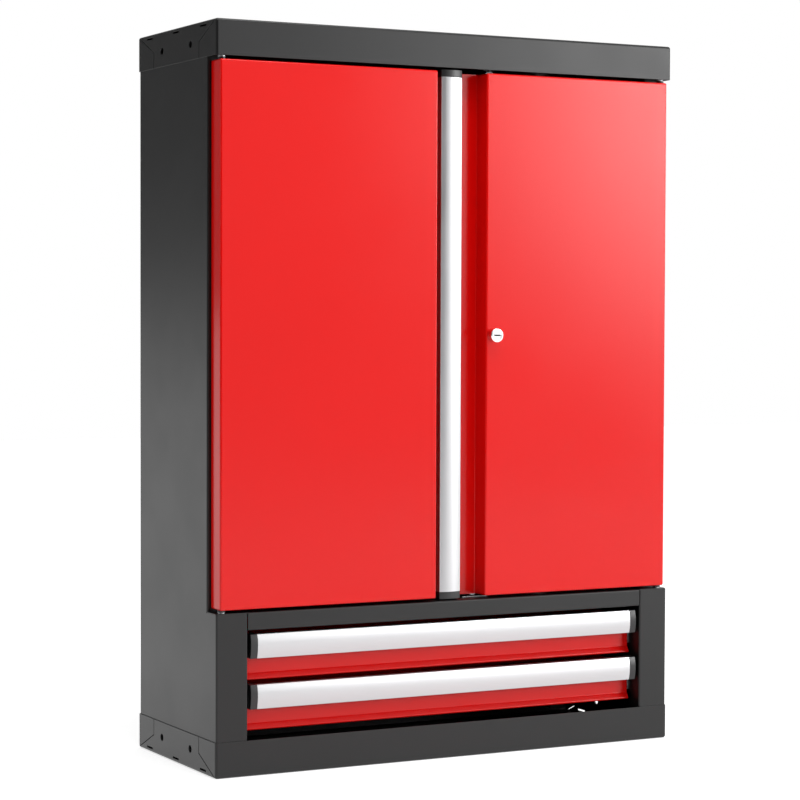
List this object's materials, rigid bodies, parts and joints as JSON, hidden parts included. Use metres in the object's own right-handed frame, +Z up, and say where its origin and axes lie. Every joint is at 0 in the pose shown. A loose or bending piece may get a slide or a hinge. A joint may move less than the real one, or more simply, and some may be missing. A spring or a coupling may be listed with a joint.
{
  "type": "tool cabinet with doors",
  "caption": "Wall tool cabinet: folded steel carcase, hinged doors with a rod lock and recessed grip, shelves, and shallow drawers on telescopic slides.",
  "frame": {"origin": "centre of the underside of the carcase: mid width, mid depth of the trays, on the floor plane", "axes": "+X to the right seen from the front, +Y to the back (the wall side), +Z up; the doors and drawers face -Y"},
  "size_m": [0.712, 0.285, 1],
  "materials": {
    "dark_paint": "satin black powder coat with a fine orange peel",
    "red_paint": "smooth satin red powder coat",
    "grip_aluminium": "satin anodised extrusion",
    "plated_steel": "zinc plated",
    "lock_chrome": "polished plating",
    "black_plastic": "matt dark grey moulding"
  },
  "bodies": {
    "cabinet": {"top_cover": "dark_paint", "bottom_tray": "dark_paint", "left_side_panel": "dark_paint", "right_side_panel": "dark_paint", "back_panel": "dark_paint", "door_header": "dark_paint", "compartment_floor": "dark_paint", "upper_shelf": "dark_paint", "lower_shelf": "dark_paint", "left_runner_bracket": "dark_paint", "right_runner_bracket": "dark_paint", "shelf_clips": "plated_steel", "hinge_pins": "plated_steel", "rod_strikes": "plated_steel", "back_rivets": "plated_steel", "slide_rivets": "plated_steel", "upper_left_fixed_rail": "plated_steel", "upper_right_fixed_rail": "plated_steel", "lower_left_fixed_rail": "plated_steel", "lower_right_fixed_rail": "plated_steel"},
    "left_door": {"left_door_panel": "red_paint", "left_door_stiffener": "red_paint", "left_door_bushes": "black_plastic"},
    "right_door": {"right_door_panel": "red_paint", "right_door_stiffener": "red_paint", "right_door_bushes": "black_plastic", "lock_plate": "red_paint", "door_grip": "grip_aluminium", "door_grip_caps": "black_plastic", "door_grip_screws": "plated_steel", "lock_barrel": "lock_chrome", "lock_nut": "plated_steel", "rod_guides": "black_plastic"},
    "lock": {"lock_plug": "lock_chrome", "lock_cam": "plated_steel", "cam_screw": "plated_steel"},
    "upper_rod": {"upper_rod": "plated_steel"},
    "lower_rod": {"lower_rod": "plated_steel"},
    "upper_drawer": {"upper_drawer_box": "red_paint", "upper_drawer_front": "red_paint", "upper_drawer_grip": "grip_aluminium", "upper_grip_caps": "black_plastic", "upper_grip_screws": "plated_steel", "upper_left_runner": "plated_steel", "upper_right_runner": "plated_steel"},
    "upper_middle_rails": {"upper_left_middle_rail": "plated_steel", "upper_right_middle_rail": "plated_steel"},
    "lower_drawer": {"lower_drawer_box": "red_paint", "lower_drawer_front": "red_paint", "lower_drawer_grip": "grip_aluminium", "lower_grip_caps": "black_plastic", "lower_grip_screws": "plated_steel", "lower_left_runner": "plated_steel", "lower_right_runner": "plated_steel"},
    "lower_middle_rails": {"lower_left_middle_rail": "plated_steel", "lower_right_middle_rail": "plated_steel"}
  },
  "joints": [
    {"name": "left_door_hinge", "type": "hinge", "parent": "cabinet", "child": "left_door", "pos_m": [-0.3435, -0.1265, 0.58505], "axis": [0, 0, -1], "range_deg": [0, 110]},
    {"name": "right_door_hinge", "type": "hinge", "parent": "cabinet", "child": "right_door", "pos_m": [0.3435, -0.1265, 0.58505], "axis": [0, 0, 1], "range_deg": [0, 110]},
    {"name": "lock_turn", "type": "hinge", "parent": "right_door", "child": "lock", "pos_m": [0.063, -0.1365, 0.58505], "axis": [0, -1, 0], "range_deg": [0, 90]},
    {"name": "upper_rod_slide", "type": "slide", "parent": "right_door", "child": "upper_rod", "axis": [0, 0, 1], "range_m": [0, 0.0198]},
    {"name": "lower_rod_slide", "type": "slide", "parent": "right_door", "child": "lower_rod", "axis": [0, 0, -1], "range_m": [0, 0.0198]},
    {"name": "upper_drawer_slide", "type": "slide", "parent": "cabinet", "child": "upper_drawer", "axis": [0, -1, 0], "range_m": [0, 0.185]},
    {"name": "upper_middle_rails_slide", "type": "slide", "parent": "cabinet", "child": "upper_middle_rails", "axis": [0, -1, 0], "range_m": [0, 0.0925]},
    {"name": "lower_drawer_slide", "type": "slide", "parent": "cabinet", "child": "lower_drawer", "axis": [0, -1, 0], "range_m": [0, 0.185]},
    {"name": "lower_middle_rails_slide", "type": "slide", "parent": "cabinet", "child": "lower_middle_rails", "axis": [0, -1, 0], "range_m": [0, 0.0925]}
  ],
  "couplings": [
    {"joint": "lock_turn", "follows": "upper_rod_slide", "rad_per_m": 79.333},
    {"joint": "lower_rod_slide", "follows": "upper_rod_slide", "ratio": 1},
    {"joint": "upper_middle_rails_slide", "follows": "upper_drawer_slide", "ratio": 0.5},
    {"joint": "lower_middle_rails_slide", "follows": "lower_drawer_slide", "ratio": 0.5}
  ]
}
